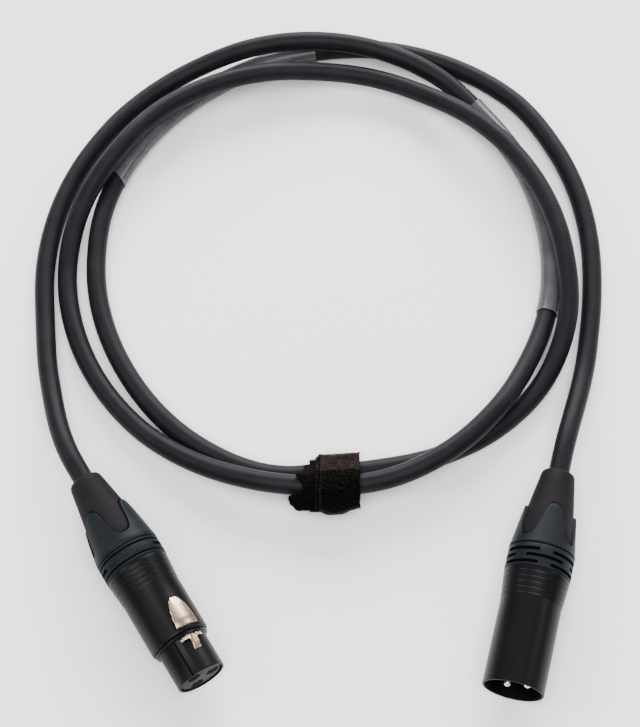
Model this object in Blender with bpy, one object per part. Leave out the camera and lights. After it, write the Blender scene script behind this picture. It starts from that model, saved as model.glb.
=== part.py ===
"""Microphone cable coil: a balanced cable with a 3-pole socket connector and a 3-pole pin
connector, wound into a flat coil of two and a half turns, tied with a hook-and-loop strap.

Lengths are in millimetres and angles in degrees; MM turns them into Blender's metres.
World frame: +Z up, the floor at Z = 0, +Y from the connectors towards the far side of the coil.
Connector frame: X runs from the connector's mouth to the cable, Z is up before the roll.
A profile is a closed list of (x, radius) points that is turned about the connector's X axis.
"""
import math

import bpy
from mathutils import Matrix, Vector

MM = 0.001
GAP = 0.3                        # clearance between pieces that touch on the real cable

# ---- cable -------------------------------------------------------------------------------
CABLE_D = 6.5
CABLE_R = CABLE_D / 2
COIL_CENTRE = (-0.2, 29.4)
STEP_DEG = 15                    # 24 points for each turn
STRAIGHT_END = 8.0               # the cable leaves a boot straight for this length

# The cable's route as (angle, radius, height of its centre), clockwise from the socket end.
# Angles run down without a break, so each 360 is one more turn. The heights carry each
# strand over the ones that it crosses, in long low humps.
ROUTE = (
    (213, 99.8, 5.9), (195, 92.9, 3.6), (180, 91.3, 3.3), (150, 90.2, 3.3), (135, 90.2, 3.3),
    (120, 89.0, 5.8), (105, 86.2, 11.3), (90, 85.3, 12.1), (75, 85.5, 10.0), (60, 85.3, 6.2),
    (45, 82.2, 4.0), (15, 78.9, 4.0), (-15, 77.9, 4.1), (-30, 78.0, 6.6), (-45, 80.0, 10.3),
    (-60, 81.9, 10.6), (-75, 82.8, 9.6), (-90, 82.2, 9.5), (-105, 82.7, 9.5), (-120, 82.9, 6.6),
    (-135, 83.2, 3.9), (-165, 83.8, 3.3), (-180, 83.8, 3.8), (-195, 82.3, 7.6),
    (-210, 79.1, 11.8), (-225, 78.2, 12.1), (-240, 76.6, 11.8), (-255, 75.6, 10.4),
    (-270, 75.2, 8.0), (-285, 75.7, 6.8), (-300, 75.5, 7.8), (-315, 75.9, 10.9),
    (-330, 77.4, 12.0), (-345, 79.4, 12.1), (-360, 81.7, 11.4), (-375, 84.7, 8.4),
    (-390, 85.3, 4.2), (-405, 83.2, 3.3), (-420, 79.9, 3.5), (-435, 77.1, 4.6),
    (-450, 76.4, 5.0), (-457, 77.2, 3.9), (-465, 77.7, 4.0), (-480, 76.4, 3.5),
    (-510, 74.0, 3.3), (-540, 74.4, 3.5), (-555, 75.6, 4.0), (-600, 79.8, 4.0),
    (-630, 86.6, 4.0), (-645, 90.7, 3.3), (-675, 95.2, 3.3), (-690, 94.2, 3.3),
    (-720, 91.8, 3.3), (-735, 92.7, 3.5), (-750, 96.8, 5.1),
)

# ---- label sleeves and strap -----------------------------------------------------------------
SLEEVE_IN_R = 3.6
SLEEVE_OUT_R = 4.0
SLEEVE_SPANS = {"label_sleeve_outer_strand": (49, -14), "label_sleeve_inner_strand": (-566, -629)}

STRAP_BORE = 4.1                 # radius of the strap's inside round each strand
STRAP_LAYERS = 3
STRAP_LAYER = 0.62
STRAP_RIGHT_X = 12.8
STRAP_LEFT_X = (0.3, -2.0, -4.9)      # each deeper wrap shows further to the left
STRAP_TAIL = 3.8                 # the strap's loose end stands out of the deepest wrap
STRAP_SLANT = 2.0                # the far side of each deeper wrap is drawn in by this much
STRAP_SIDES = 28

# ---- both connectors ---------------------------------------------------------------------
AXIS_Z = 10.2
SHELL_R = 9.3
SHELL_BORE_R = 8.05
RING_R = 10.2
SPIGOT_R = 8.8
SPIGOT_LENGTH = 6.0
BOOT_SIDES = 48
SHELL_SIDES = 48
GRIP_STEPS = 5
CONTACT_CIRCLE_R = 3.9
CONTACT_ANGLES = (60, -60, 180)
BOOT_LENGTH = 34.6               # from the front of the ring to the cable's exit
RING_LENGTH = 8.0
TONGUES = 4
TONGUE_TIP = 21.3                # the hard tongues' tips, from the front of the ring
TONGUE_ROOT = 9.8                # the bottoms of the notches between them
TONGUE_SQUARENESS = 1.7
CONE_SLOPE = 0.146
CONE_R = 9.8                     # hard cone's radius at CONE_X
CONE_X = 10.0
CONE_WALL = 1.5
GLAND_R = 7.15                   # soft boot's radius at GLAND_X
GLAND_X = 22.0
GLAND_SLOPE = 0.16
CABLE_BORE_R = CABLE_R + GAP
JACKET_END = -4.3                # these four are measured from the front of the ring
CUPS_END = -8.3
INSERT_REAR = -11.3
CHUCK_FRONT = -5.3
CHUCK_REAR = 6.7
WIRE_R = 0.55

# ---- socket connector -----------------------------------------------------------------------
SOCKET_MOUTH = (-34.3, -143.9)   # from the coil's centre
SOCKET_HEADING = 121.4
SOCKET_RING = 39.3
BARREL_R = 7.65
BARREL_BORE_R = 6.95
BARREL_LENGTH = 11.7
SOCKET_BOOT_ROLL = -34.0
LATCH_ROLL = 25.0
LATCH_HALF_WIDTH = 3.7
LATCH_FRONT = 14.1
LATCH_TIP = 24.0
NOSE_FRONT = 6.8
NOSE_ARMS = (10.3, 11.35)
NOSE_HALF_WIDTH = 3.4
TONGUE_HALF_WIDTH = 1.2
NECK_HALF_WIDTH = 1.7
PIVOT_X = 25.6
PIVOT_H = 6.7
TRUNNION_R = 0.6
TRUNNION_HALF = 2.8
KEYWAY_FROM_LATCH = -43.0

# ---- pin connector --------------------------------------------------------------------------
PLUG_MOUTH = (57.6, -147.6)
PLUG_HEADING = 75.7
PLUG_RING = 36.7
PLUG_LIP = 0.5                   # this ring reaches further over the shell than the socket's
CUP_R = 8.15
CUP_MOUTH_R = 8.75
CUP_DEPTH = 14.6
PIN_TIP = 1.8
PIN_R = 1.2
PLUG_BOOT_ROLL = 5.0
PIN_ROLL = 150.0                 # the side that the socket's latch would meet


# ---- shared helpers ----------------------------------------------------------------------
def clear_scene():
    for thing in list(bpy.data.objects):
        bpy.data.objects.remove(thing, do_unlink=True)


def material(name, colour, roughness, metallic=0.0, alpha=1.0):
    made = bpy.data.materials.new(name)
    made.use_nodes = True
    shader = made.node_tree.nodes["Principled BSDF"]
    shader.inputs["Base Color"].default_value = (*colour, 1.0)
    shader.inputs["Roughness"].default_value = roughness
    shader.inputs["Metallic"].default_value = metallic
    shader.inputs["Alpha"].default_value = alpha
    made.diffuse_color = (*colour, alpha)
    return made


def add_object(name, data, finish, parent=None, roll=0.0):
    made = bpy.data.objects.new(name, data)
    bpy.context.collection.objects.link(made)
    if finish:
        data.materials.append(finish)
    made.parent = parent
    made.rotation_euler.x = math.radians(roll)
    return made


def mesh_from(name, points, faces):
    mesh = bpy.data.meshes.new(name)
    mesh.from_pydata([tuple(c * MM for c in point) for point in points], [], faces)
    mesh.validate()
    mesh.shade_smooth()
    mesh.set_sharp_from_angle(angle=math.radians(35))
    return mesh


def ring_faces(rings, sides, closed=True):
    """Quads between neighbouring rings of points, the last ring joined to the first."""
    faces = []
    for row in range(rings if closed else rings - 1):
        here = row * sides
        there = ((row + 1) % rings) * sides
        for k in range(sides):
            step = (k + 1) % sides
            faces.append((here + k, here + step, there + step, there + k))
    return faces


def turned_point(x, radius, angle):
    return (x, -radius * math.sin(angle), radius * math.cos(angle))


def turned(name, profile, sides):
    """Mesh of a closed profile turned about X. A point on the axis makes a pole."""
    points = []
    rows = []
    for x, radius in profile:
        if radius == 0:
            rows.append([len(points)] * sides)
            points.append((x, 0.0, 0.0))
        else:
            rows.append(list(range(len(points), len(points) + sides)))
            points += [turned_point(x, radius, math.tau * k / sides) for k in range(sides)]
    faces = []
    for here, there in zip(rows, rows[1:] + rows[:1]):
        if here[0] == here[1] and there[0] == there[1]:
            continue
        for k in range(sides):
            step = (k + 1) % sides
            corners = (here[k], here[step], there[step], there[k])
            faces.append(tuple(dict.fromkeys(corners)))
    return mesh_from(name, points, faces)


def columns(name, profiles):
    """Mesh of one closed profile for each of the evenly spaced angles round X."""
    sides = len(profiles)
    rows = len(profiles[0])
    points = [turned_point(*profiles[k][row], math.tau * k / sides)
              for row in range(rows) for k in range(sides)]
    return mesh_from(name, points, ring_faces(rows, sides))


def prism(name, outline, low, high):
    """Mesh of an (x, y) outline, anticlockwise from above, raised from Z low to Z high."""
    count = len(outline)
    points = [(x, y, low) for x, y in outline] + [(x, y, high) for x, y in outline]
    faces = [tuple(reversed(range(count))), tuple(range(count, 2 * count))]
    faces += ring_faces(2, count, closed=False)
    return mesh_from(name, points, faces)


def block(name, low, high):
    outline = [(low[0], low[1]), (high[0], low[1]), (high[0], high[1]), (low[0], high[1])]
    return prism(name, outline, low[2], high[2])


def shape(target, tool_mesh, operation, parent=None, roll=0.0, moved=None):
    """Cut, join or intersect target with a hidden tool made of tool_mesh."""
    tool = add_object("tool_" + tool_mesh.name, tool_mesh, None, parent, roll)
    if moved:
        tool.location = Vector(moved) * MM
    tool.hide_render = True
    tool.display_type = "WIRE"
    step = target.modifiers.new(tool_mesh.name, "BOOLEAN")
    step.operation = operation
    step.solver = "EXACT"
    step.object = tool
    return tool


def arc_slot(name, x_low, x_high, r_low, r_high, middle, half, steps=8):
    """Cutter for a slot that runs round part of a ring."""
    points = []
    for k in range(steps + 1):
        angle = math.radians(middle - half + 2 * half * k / steps)
        for x, radius in ((x_low, r_low), (x_high, r_low), (x_high, r_high), (x_low, r_high)):
            points.append(turned_point(x, radius, angle))
    faces = [(3, 2, 1, 0), tuple(4 * steps + k for k in range(4))]
    for k in range(steps):
        for side in range(4):
            step = (side + 1) % 4
            faces.append((4 * k + side, 4 * k + step, 4 * k + 4 + step, 4 * k + 4 + side))
    return mesh_from(name, points, faces)


def connector_frame(name, mouth, heading):
    frame = bpy.data.objects.new(name, None)
    bpy.context.collection.objects.link(frame)
    frame.empty_display_size = 0.01
    frame.location = Vector((COIL_CENTRE[0] + mouth[0], COIL_CENTRE[1] + mouth[1], AXIS_Z)) * MM
    frame.rotation_euler.z = math.radians(heading)
    return frame


def on_axis(mouth, heading, distance):
    """World point, in millimetres, on a connector's axis."""
    turn = math.radians(heading)
    return Vector((COIL_CENTRE[0] + mouth[0] + distance * math.cos(turn),
                   COIL_CENTRE[1] + mouth[1] + distance * math.sin(turn), AXIS_Z))


# ---- route of the cable --------------------------------------------------------------------
def smooth_value(stations, column, angle):
    """Cubic curve through one column of the stations, which run down in angle."""
    last = len(stations) - 1
    k = 0
    while k < last - 1 and angle < stations[k + 1][0]:
        k += 1

    def slope(i):
        a, b = max(i - 1, 0), min(i + 1, last)
        return (stations[b][column] - stations[a][column]) / (stations[b][0] - stations[a][0])

    width = stations[k + 1][0] - stations[k][0]
    t = (angle - stations[k][0]) / width
    start, end = stations[k][column], stations[k + 1][column]
    rise_in, rise_out = slope(k) * width, slope(k + 1) * width
    return ((2 * t ** 3 - 3 * t ** 2 + 1) * start + (t ** 3 - 2 * t ** 2 + t) * rise_in
            + (3 * t ** 2 - 2 * t ** 3) * end + (t ** 3 - t ** 2) * rise_out)


def route_point(angle):
    radius = smooth_value(ROUTE, 1, angle)
    height = smooth_value(ROUTE, 2, angle)
    turn = math.radians(angle)
    return Vector((COIL_CENTRE[0] + radius * math.cos(turn),
                   COIL_CENTRE[1] + radius * math.sin(turn), height))


def chord_point(angle):
    """Point on the straight stretch between the cable's two nearest shared stops."""
    stop = math.ceil(angle / STEP_DEG) * STEP_DEG
    return route_point(stop).lerp(route_point(stop - STEP_DEG), (stop - angle) / STEP_DEG)


def coil_angles(first, last):
    """The shared stops of the turns between two angles, and the two ends themselves."""
    inner = [a for a in range(ROUTE[0][0] // STEP_DEG * STEP_DEG, int(last), -STEP_DEG)
             if last + 3 < a < first - 3]
    return [first] + inner + [last]


def cable_route():
    socket_exit = SOCKET_RING + BOOT_LENGTH
    plug_exit = PLUG_RING + BOOT_LENGTH
    socket = (SOCKET_MOUTH, SOCKET_HEADING)
    plug = (PLUG_MOUTH, PLUG_HEADING)
    points = [on_axis(*socket, SOCKET_RING + JACKET_END), on_axis(*socket, socket_exit),
              on_axis(*socket, socket_exit + STRAIGHT_END)]
    points += [route_point(angle) for angle in coil_angles(ROUTE[0][0], ROUTE[-1][0])]
    points += [on_axis(*plug, plug_exit + STRAIGHT_END), on_axis(*plug, plug_exit),
               on_axis(*plug, PLUG_RING + JACKET_END)]
    return points


def segment_distance(a, b, c, d):
    """Least distance between two straight stretches, sampled finely enough for a check."""
    best = 1e9
    for i in range(9):
        p = a.lerp(b, i / 8)
        along = d - c
        t = max(0.0, min(1.0, (p - c).dot(along) / along.length_squared))
        best = min(best, (p - c.lerp(d, t)).length)
    return best


def least_self_gap(points):
    """The least gap between stretches of the cable that aren't neighbours along it."""
    best = 1e9
    for i in range(len(points) - 1):
        for j in range(i + 4, len(points) - 1):
            near = segment_distance(points[i], points[i + 1], points[j], points[j + 1])
            best = min(best, near - CABLE_D)
    return best


def tube_frames(points):
    """Side and up directions across the path at each point, kept level."""
    frames = []
    for k, point in enumerate(points):
        ahead = points[min(k + 1, len(points) - 1)] - point
        behind = point - points[max(k - 1, 0)]
        along = (ahead.normalized() + behind.normalized()).normalized()
        side = along.cross(Vector((0, 0, 1))).normalized()
        frames.append((side, side.cross(along)))
    return frames


def tube_ring(point, frame, radius, sides):
    side, up = frame
    turns = [math.tau * k / sides for k in range(sides)]
    return [point + radius * (side * math.cos(t) + up * math.sin(t)) for t in turns]


def tube_object(name, points, radius, finish, parent=None, resolution=1):
    curve = bpy.data.curves.new(name, "CURVE")
    curve.dimensions = "3D"
    curve.twist_mode = "Z_UP"
    curve.bevel_depth = radius * MM
    curve.bevel_resolution = resolution
    curve.use_fill_caps = True
    line = curve.splines.new("POLY")
    line.points.add(len(points) - 1)
    for spot, point in zip(line.points, points):
        spot.co = (*(c * MM for c in point), 1.0)
    return add_object(name, curve, finish, parent)


# ---- parts of both connectors ----------------------------------------------------------------
def grip_steps(start, end, r_low, r_high):
    """Fine steps that widen a shell towards its boot."""
    points = []
    pitch = (end - start) / GRIP_STEPS
    rise = (r_high - r_low) / GRIP_STEPS
    for k in range(GRIP_STEPS):
        x = start + k * pitch
        points += [(x, r_low + k * rise), (x + 0.25, r_low + (k + 1) * rise)]
    return points + [(end, r_high)]


def shell_rear(ring, lip=0.0):
    """The threaded end that goes under the boot's ring, and the bore behind it."""
    end = ring + SPIGOT_LENGTH
    return [(ring - lip, SPIGOT_R), (end, SPIGOT_R), (end, SHELL_BORE_R)]


def cone_radius(x):
    return CONE_R - CONE_SLOPE * (x - CONE_X)


def gland_radius(x):
    return GLAND_R - GLAND_SLOPE * (x - GLAND_X)


def tongue_edge(angle):
    """Where the hard tongues end and the soft ones begin, measured from the ring's front."""
    middle = (TONGUE_TIP + TONGUE_ROOT) / 2
    reach = (TONGUE_TIP - TONGUE_ROOT) / 2
    wave = math.tanh(TONGUE_SQUARENESS * math.cos(TONGUES * angle)) / math.tanh(TONGUE_SQUARENESS)
    return middle + reach * wave


def make_bushing(name, parent, ring, roll, lip, grooves, slots, width, finish):
    """Hard half of the boot: the ring that screws on the shell, and four tapered tongues."""
    profiles = []
    for k in range(BOOT_SIDES):
        edge = tongue_edge(math.tau * k / BOOT_SIDES)
        outer = [(-lip, RING_R - 0.35), (0.3 - lip, RING_R)]
        for x, half, depth in grooves:
            outer += [(x - half, RING_R), (x, RING_R - depth), (x + half, RING_R)]
        outer += [(RING_LENGTH, RING_R - 0.1), (RING_LENGTH + 0.4, cone_radius(RING_LENGTH + 0.4))]
        outer += [(edge, cone_radius(edge)), (edge, cone_radius(edge) - CONE_WALL)]
        bore = SPIGOT_R + GAP
        inner = [(RING_LENGTH + 0.4, cone_radius(RING_LENGTH + 0.4) - CONE_WALL),
                 (SPIGOT_LENGTH + GAP, SHELL_BORE_R), (SPIGOT_LENGTH + GAP, bore), (-lip, bore)]
        profiles.append([(ring + x, radius) for x, radius in outer + inner])
    bushing = add_object(name, columns(name, profiles), finish, parent, roll)
    for number, (x, middle, half) in enumerate(slots):
        cutter = arc_slot(f"{name}_slot_{number}", ring + x - width / 2, ring + x + width / 2,
                          RING_R - 0.75, RING_R + 1.0, middle, half)
        shape(bushing, cutter, "DIFFERENCE", parent, roll)
    return bushing


def make_gland(name, parent, ring, roll, finish):
    """Soft half of the boot: a cone on the cable with tongues that fill the hard one's notches."""
    rear = BOOT_LENGTH
    seat = SPIGOT_LENGTH + 1.0
    profiles = []
    for k in range(BOOT_SIDES):
        edge = tongue_edge(math.tau * k / BOOT_SIDES) + GAP
        under = cone_radius(edge) - CONE_WALL - GAP
        outer = [(seat, SHELL_BORE_R - GAP - 0.2),
                 (RING_LENGTH + 0.4, cone_radius(RING_LENGTH + 0.4) - CONE_WALL - GAP),
                 (edge, under), (edge, gland_radius(edge)),
                 (rear - 1.5, gland_radius(rear - 1.5)), (rear - 0.6, 5.1), (rear - 0.15, 4.7),
                 (rear, 4.2)]
        inner = [(rear, CABLE_BORE_R), (seat, CABLE_BORE_R)]
        profiles.append([(ring + x, radius) for x, radius in outer + inner])
    return add_object(name, columns(name, profiles), finish, parent, roll)


def make_chuck(name, parent, ring, roll, finish):
    """Clamp with four jaws that the boot squeezes on the cable's jacket."""
    front, rear = ring + CHUCK_FRONT, ring + CHUCK_REAR
    collar = SHELL_BORE_R - GAP
    profile = [(front, collar - 0.4), (front + 0.4, collar), (front + 3.0, collar),
               (front + 3.0, 6.6), (rear - 3.0, 6.6), (rear, 5.6), (rear, CABLE_BORE_R),
               (front, CABLE_BORE_R)]
    chuck = add_object(name, turned(name, profile, 32), finish, parent, roll)
    for number in range(2):
        slit = block(f"{name}_slit_{number}", (front + 4.2, -SHELL_R, -0.4),
                     (rear + 1.0, SHELL_R, 0.4))
        shape(chuck, slit, "DIFFERENCE", parent, roll + 45 + 90 * number)
    return chuck


def make_wires(names, parent, ring, roll, finishes):
    """The cable's cores and screen, from the jacket's end to the solder cups."""
    for name, angle, finish in zip(names, CONTACT_ANGLES, finishes):
        turn = math.radians(angle + roll)
        stations = ((CUPS_END - 1.6, CONTACT_CIRCLE_R), (CUPS_END + 0.4, CONTACT_CIRCLE_R),
                    (CUPS_END + 1.4, 3.1), (JACKET_END - 1.4, 1.9), (JACKET_END - 0.4, 1.5))
        points = [turned_point(ring + x, radius, turn) for x, radius in stations]
        tube_object(name, points, WIRE_R, finish, parent, resolution=1)


def contact_spots(roll):
    for angle in CONTACT_ANGLES:
        turn = math.radians(angle + roll)
        yield (0.0, -CONTACT_CIRCLE_R * math.sin(turn), CONTACT_CIRCLE_R * math.cos(turn))


def bore_contacts(insert, parent, roll, start, end, radius):
    for number, spot in enumerate(contact_spots(roll)):
        drill = turned(f"{insert.name}_bore_{number}",
                       [(start, 0), (start, radius), (end, radius), (end, 0)], 20)
        shape(insert, drill, "DIFFERENCE", parent, 0.0, moved=spot)


def make_contacts(names, parent, ring, roll, profile, finish):
    """Turned contacts, each with an open solder cup at the cable end."""
    end = ring + CUPS_END
    cup = [(end, 1.3), (end, 0.95), (end - 2.6, 0.95)]
    for name, spot in zip(names, contact_spots(roll)):
        contact = add_object(name, turned(name, profile + cup, 16), finish, parent)
        contact.location = Vector(spot) * MM
        lid = block(name + "_cup", (end - 2.2, -2.0, 0.25), (end + 1.0, 2.0, 2.0))
        shape(contact, lid, "DIFFERENCE", parent, 0.0, moved=spot)


# ---- socket connector ------------------------------------------------------------------------
def bullet_outline(margin=0.0):
    """The latch plate from above: half an ellipse, cut square at the front."""
    side = LATCH_HALF_WIDTH + margin
    front = LATCH_FRONT - margin
    length = LATCH_TIP + margin - front
    right = [(front + length * math.sin(t), -side * math.cos(t))
             for t in (math.radians(a) for a in range(0, 90, 15))]
    return right + [(LATCH_TIP + margin, 0.0)] + [(x, -y) for x, y in reversed(right)]


def nose_outline(margin=0.0):
    """The T-shaped nose and the neck behind it, from above."""
    arms_front, arms_rear = NOSE_ARMS[0] - margin, NOSE_ARMS[1] + margin
    tongue, arms = TONGUE_HALF_WIDTH + margin, NOSE_HALF_WIDTH + margin
    neck = NECK_HALF_WIDTH + margin
    right = [(NOSE_FRONT - margin, -tongue), (arms_front, -tongue), (arms_front, -arms),
             (arms_rear, -arms), (arms_rear, -neck), (LATCH_FRONT, -neck)]
    return right + [(x, -y) for x, y in reversed(right)]


def make_socket_shell(parent, finish):
    """Metal shell: the front barrel, the sleeve with the latch's windows, and the grip."""
    profile = [(0.0, BARREL_R - 0.35), (0.35, BARREL_R), (BARREL_LENGTH, BARREL_R),
               (BARREL_LENGTH, 8.55), (12.6, 8.55), (12.6, 8.95), (13.0, SHELL_R)]
    profile += grip_steps(31.0, SOCKET_RING, SHELL_R, 10.0) + shell_rear(SOCKET_RING)
    profile += [(14.6, SHELL_BORE_R), (14.6, BARREL_BORE_R), (0.0, BARREL_BORE_R)]
    shell = add_object("socket_shell", turned("socket_shell", profile, SHELL_SIDES), finish,
                       parent, LATCH_ROLL)
    plate = prism("plate_window", bullet_outline(GAP), 5.2, 12.0)
    shape(shell, plate, "DIFFERENCE", parent, LATCH_ROLL)
    nose = prism("nose_window", nose_outline(GAP)[:4] + nose_outline(GAP)[-4:], 4.0, 12.0)
    shape(shell, nose, "DIFFERENCE", parent, LATCH_ROLL)
    under_band = [(NOSE_ARMS[1] - 0.5, 5.0), (NOSE_ARMS[1] - 0.5, 8.2), (LATCH_FRONT + 0.2, 8.2),
                  (LATCH_FRONT + 0.2, 5.0)]
    half = math.degrees(math.asin((NECK_HALF_WIDTH + GAP) / BARREL_BORE_R))
    channel = arc_slot("neck_channel", under_band[0][0], under_band[2][0], 6.4, 8.2, 0.0, half)
    shape(shell, channel, "DIFFERENCE", parent, LATCH_ROLL)
    keyway = block("keyway", (-1.0, -0.25, BARREL_R - 0.35), (BARREL_LENGTH, 0.25, 9.0))
    shape(shell, keyway, "DIFFERENCE", parent, LATCH_ROLL + KEYWAY_FROM_LATCH)
    return shell


def make_socket_insert(parent, finish):
    """Insulator with three bores, cut flat under the latch, with a saddle for its pivot."""
    rear = SOCKET_RING + INSERT_REAR
    front_r, rear_r = BARREL_BORE_R - GAP, SHELL_BORE_R - GAP
    profile = [(0.4, 0.0), (0.4, front_r - 0.4), (0.8, front_r), (14.2, front_r),
               (14.9, front_r), (14.9, rear_r), (rear, rear_r), (rear, 0.0)]
    insert = add_object("socket_insert", turned("socket_insert", profile, 40), finish, parent,
                        LATCH_ROLL)
    under_nose = block("under_nose", (6.1, -9.0, 4.6), (15.5, 9.0, 12.0))
    shape(insert, under_nose, "DIFFERENCE", parent, LATCH_ROLL)
    under_plate = block("under_plate", (15.2, -9.0, 5.75), (rear + 1.0, 9.0, 12.0))
    shape(insert, under_plate, "DIFFERENCE", parent, LATCH_ROLL)
    for number, side in enumerate((-1, 1)):
        low, high = sorted((side * 1.7, side * 3.2))
        for post, (start, end) in enumerate(((PIVOT_X - 1.5, PIVOT_X - 0.9),
                                             (PIVOT_X + 0.9, PIVOT_X + 1.5))):
            saddle = block(f"saddle_{number}_{post}", (start, low, 5.0), (end, high, 6.9))
            shape(insert, saddle, "UNION", parent, LATCH_ROLL)
    bore_contacts(insert, parent, LATCH_ROLL, -1.0, rear + 2.0, 1.9)
    return insert


def make_latch(parent, finish):
    """Sprung latch: push plate, neck under the shell's band, and the T-shaped nose."""
    pivot = bpy.data.objects.new("latch_pivot", None)
    bpy.context.collection.objects.link(pivot)
    pivot.empty_display_size = 0.004
    pivot.parent = parent
    roll = math.radians(LATCH_ROLL)
    pivot.location = Vector(turned_point(PIVOT_X, PIVOT_H, roll)) * MM
    pivot.rotation_euler.x = roll

    def placed(mesh):
        mesh.transform(Matrix.Translation(Vector((-PIVOT_X, 0.0, -PIVOT_H)) * MM))
        return mesh

    profile = [(NOSE_FRONT, 7.05), (NOSE_FRONT, 7.5), (9.8, 8.3), (NOSE_ARMS[1], 8.3),
               (NOSE_ARMS[1], 7.85), (LATCH_FRONT, 7.85), (LATCH_FRONT, 9.3),
               (LATCH_FRONT + 0.3, 9.55), (LATCH_TIP - 0.5, 9.5), (LATCH_TIP, 9.1),
               (LATCH_TIP, 8.6), (15.1, 8.6), (15.1, 7.05)]
    latch = add_object("latch", placed(turned("latch", profile, SHELL_SIDES)), finish, pivot)
    outline = nose_outline()
    whole = outline[:6] + bullet_outline() + outline[-6:]
    shape(latch, placed(prism("latch_outline", whole, 3.0, 12.0)), "INTERSECT", pivot)
    arm = block("latch_arm", (21.6, -1.3, 6.9), (PIVOT_X + 0.6, 1.3, 8.8))
    shape(latch, placed(arm), "UNION", pivot)
    relief = block("arm_relief", (22.9, -1.5, 7.5), (PIVOT_X + 2.0, 1.5, 8.95))
    trunnion = turned("latch_trunnion", [(-TRUNNION_HALF, 0), (-TRUNNION_HALF, TRUNNION_R),
                                         (TRUNNION_HALF, TRUNNION_R), (TRUNNION_HALF, 0)], 16)
    trunnion.transform(Matrix.Rotation(math.radians(90), 4, "Z"))
    shape(latch, placed(relief), "DIFFERENCE", pivot)
    shape(latch, trunnion, "UNION", pivot)
    return latch


def make_latch_spring(parent, finish):
    """Bent leaf between the insert's flat and the push plate."""
    top = [(23.3, 6.32), (19.6, 6.32), (18.6, 6.75), (17.2, 7.8), (16.5, 8.22), (15.8, 8.22)]
    under = [(15.8, 7.97), (16.4, 7.97), (17.05, 7.58), (18.45, 6.5), (19.5, 6.07), (23.3, 6.07)]
    outline = [(x, z) for x, z in top + under]
    strip = prism("latch_spring", outline, -1.4, 1.4)
    strip.transform(Matrix.Rotation(math.radians(90), 4, "X"))
    return add_object("latch_spring", strip, finish, parent, LATCH_ROLL)


def make_socket_connector(finishes):
    parent = connector_frame("socket_frame", SOCKET_MOUTH, SOCKET_HEADING)
    make_socket_shell(parent, finishes["shell"])
    make_socket_insert(parent, finishes["insert"])
    profile = [(12.0, 0.0), (12.0, 1.15), (1.2, 1.15), (1.2, 1.45), (1.45, 1.6),
               (SOCKET_RING + INSERT_REAR - 0.4, 1.6), (SOCKET_RING + INSERT_REAR - 0.1, 1.3)]
    # The bored front and the cup are one closed profile: bore, outside, cup, then the axis.
    names = ("socket_contact_1", "socket_contact_2", "socket_contact_3")
    make_contacts(names, parent, SOCKET_RING, LATCH_ROLL, profile, finishes["contact"])
    make_latch(parent, finishes["nickel"])
    make_latch_spring(parent, finishes["spring"])
    make_chuck("socket_chuck", parent, SOCKET_RING, LATCH_ROLL, finishes["chuck"])
    grooves = ((1.1, 0.35, 0.35), (4.9, 0.35, 0.35), (6.0, 0.2, 0.2))
    side_slots = [(3.1, 83 - SOCKET_BOOT_ROLL, 34), (3.1, 274 - SOCKET_BOOT_ROLL, 31)]
    make_bushing("socket_bushing", parent, SOCKET_RING, SOCKET_BOOT_ROLL, 0.0, grooves,
                 side_slots, 1.05, finishes["hard"])
    make_gland("socket_gland", parent, SOCKET_RING, SOCKET_BOOT_ROLL, finishes["soft"])
    wires = ("socket_wire_hot", "socket_wire_cold", "socket_wire_screen")
    make_wires(wires, parent, SOCKET_RING, LATCH_ROLL, finishes["wires"])


# ---- pin connector ---------------------------------------------------------------------------
def make_plug_shell(parent, finish):
    """Metal shell: the deep cup round the pins, a stop ring for the insert, and the grip."""
    profile = [(0.0, SHELL_R - 0.2), (0.2, SHELL_R), (27.2, SHELL_R)]
    profile += grip_steps(27.5, PLUG_RING - PLUG_LIP, SHELL_R, 10.05)
    profile += shell_rear(PLUG_RING, PLUG_LIP)
    profile += [(CUP_DEPTH + 1.0, SHELL_BORE_R), (CUP_DEPTH + 1.0, 7.3), (CUP_DEPTH, 7.3),
                (CUP_DEPTH, CUP_R), (1.2, CUP_R), (0.0, CUP_MOUTH_R)]
    shell = add_object("plug_shell", turned("plug_shell", profile, SHELL_SIDES), finish, parent,
                       PIN_ROLL)
    recess = arc_slot("latch_recess", 6.6, 9.2, CUP_R - 1.0, CUP_R + 0.6, 0.0, 24)
    shape(shell, recess, "DIFFERENCE", parent, PIN_ROLL)
    return shell


def make_plug_insert(parent, finish):
    rear = PLUG_RING + INSERT_REAR
    profile = [(13.6, 0.0), (13.6, 6.6), (14.0, 7.0), (CUP_DEPTH + 1.3, 7.0),
               (CUP_DEPTH + 1.3, SHELL_BORE_R - GAP), (rear, SHELL_BORE_R - GAP), (rear, 0.0)]
    insert = add_object("plug_insert", turned("plug_insert", profile, 40), finish, parent,
                        PIN_ROLL)
    bore_contacts(insert, parent, PIN_ROLL, 10.0, rear + 2.0, PIN_R + GAP)
    return insert


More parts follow.
